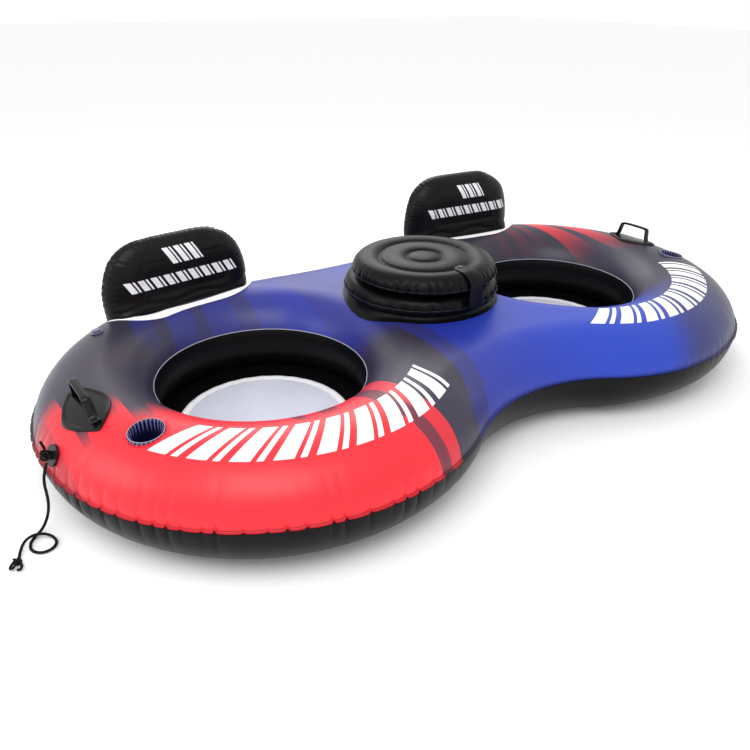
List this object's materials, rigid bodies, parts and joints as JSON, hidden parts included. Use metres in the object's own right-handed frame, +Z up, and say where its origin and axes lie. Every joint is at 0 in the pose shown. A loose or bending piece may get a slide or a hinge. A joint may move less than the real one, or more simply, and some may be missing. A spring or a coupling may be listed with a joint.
{
  "type": "towable tube",
  "caption": "Two-seat inflatable river and tow tube: figure-eight air ring with mesh seats, backrests, cup holders, grab handles, lidded cooler and tow rope.",
  "frame": {"origin": "on the floor, at the middle of the tube footprint", "axes": "+X along the length, +Y towards the backrests, +Z up"},
  "size_m": [2.6232, 1.2884, 0.535],
  "materials": {
    "printed_vinyl": "semi-gloss printed vinyl: red, blue and charcoal",
    "black_vinyl": "semi-gloss black vinyl",
    "white_vinyl": "white vinyl",
    "mesh_fabric": "fine pale grey mesh",
    "cup_vinyl": "dark navy moulded vinyl",
    "moulded_black": "satin moulded black plastic",
    "rope": "braided black rope",
    "liner": "silver grey insulated liner",
    "valve_plastic": "translucent grey moulded plastic"
  },
  "bodies": {
    "tube": {"bottom_skin": "black_vinyl", "top_skin": "printed_vinyl", "seat_mesh_left": "mesh_fabric", "mesh_border_left": "white_vinyl", "mesh_skirt_left": "black_vinyl", "seat_mesh_right": "mesh_fabric", "mesh_border_right": "white_vinyl", "mesh_skirt_right": "black_vinyl", "main_valve_base": "valve_plastic", "weld_strip_left": "white_vinyl", "weld_strip_right": "white_vinyl", "cup_holder_left": "cup_vinyl", "cup_holder_right": "cup_vinyl", "handle_base_left": "moulded_black", "handle_loop_left": "moulded_black", "handle_base_right": "moulded_black", "handle_loop_right": "moulded_black", "tow_patch": "moulded_black", "tow_eyelet": "moulded_black", "tow_rope": "rope", "rope_tie_knot": "rope", "rope_end_knot": "rope", "cooler_collar": "black_vinyl", "cooler_liner": "liner", "cooler_skirt": "black_vinyl", "hinge_flap_foot": "black_vinyl", "collar_valve_base": "valve_plastic"},
    "main_valve_cap": {"main_valve_cap": "valve_plastic"},
    "backrest_left": {"backrest_left": "black_vinyl", "rest_left_valve_base": "valve_plastic"},
    "rest_left_valve_cap": {"rest_left_valve_cap": "valve_plastic"},
    "backrest_right": {"backrest_right": "black_vinyl", "rest_right_valve_base": "valve_plastic"},
    "rest_right_valve_cap": {"rest_right_valve_cap": "valve_plastic"},
    "lid": {"cooler_lid": "black_vinyl", "hinge_flap_strip": "black_vinyl", "latch_tab": "black_vinyl", "latch_snap": "black_vinyl", "lid_valve_base": "valve_plastic"},
    "latch_strap": {"latch_strap": "black_vinyl"},
    "lid_valve_cap": {"lid_valve_cap": "valve_plastic"},
    "collar_valve_cap": {"collar_valve_cap": "valve_plastic"}
  },
  "joints": [
    {"name": "backrest_left_tilt", "type": "hinge", "parent": "tube", "child": "backrest_left", "pos_m": [-0.668, 0.484, 0.343], "axis": [-0.9951, -0.0993, 0], "range_deg": [-6, 14], "stiffness_Nm_per_rad": 40},
    {"name": "backrest_right_tilt", "type": "hinge", "parent": "tube", "child": "backrest_right", "pos_m": [0.556, 0.516, 0.343], "axis": [-0.9951, 0.0993, 0], "range_deg": [-6, 14], "stiffness_Nm_per_rad": 40},
    {"name": "lid_hinge", "type": "hinge", "parent": "tube", "child": "lid", "pos_m": [0, 0.285, 0.371], "axis": [-1, 0, 0], "range_deg": [0, 100]},
    {"name": "latch_strap_peel", "type": "hinge", "parent": "lid", "child": "latch_strap", "pos_m": [0.01195, -0.18097, 0.43245], "axis": [-0.9986, -0.0523, 0], "range_deg": [0, 90]},
    {"name": "main_valve_open", "type": "hinge", "parent": "tube", "child": "main_valve_cap", "pos_m": [-0.96147, 0.35962, 0.3013], "axis": [0.7108, 0.7034, 0], "range_deg": [0, 120]},
    {"name": "rest_left_valve_open", "type": "hinge", "parent": "backrest_left", "child": "rest_left_valve_cap", "pos_m": [-0.54373, 0.54786, 0.4035], "axis": [0.9951, 0.0993, 0], "range_deg": [0, 120]},
    {"name": "rest_right_valve_open", "type": "hinge", "parent": "backrest_right", "child": "rest_right_valve_cap", "pos_m": [0.69044, 0.55404, 0.4035], "axis": [0.9951, -0.0993, 0], "range_deg": [0, 120]},
    {"name": "lid_valve_open", "type": "hinge", "parent": "lid", "child": "lid_valve_cap", "pos_m": [-0.0885, 0.047, 0.3678], "axis": [0, -1, 0], "range_deg": [0, 120]},
    {"name": "collar_valve_open", "type": "hinge", "parent": "tube", "child": "collar_valve_cap", "pos_m": [0.1336, 0.3054, 0.35], "axis": [0.866, -0.5, 0], "range_deg": [0, 120]}
  ]
}
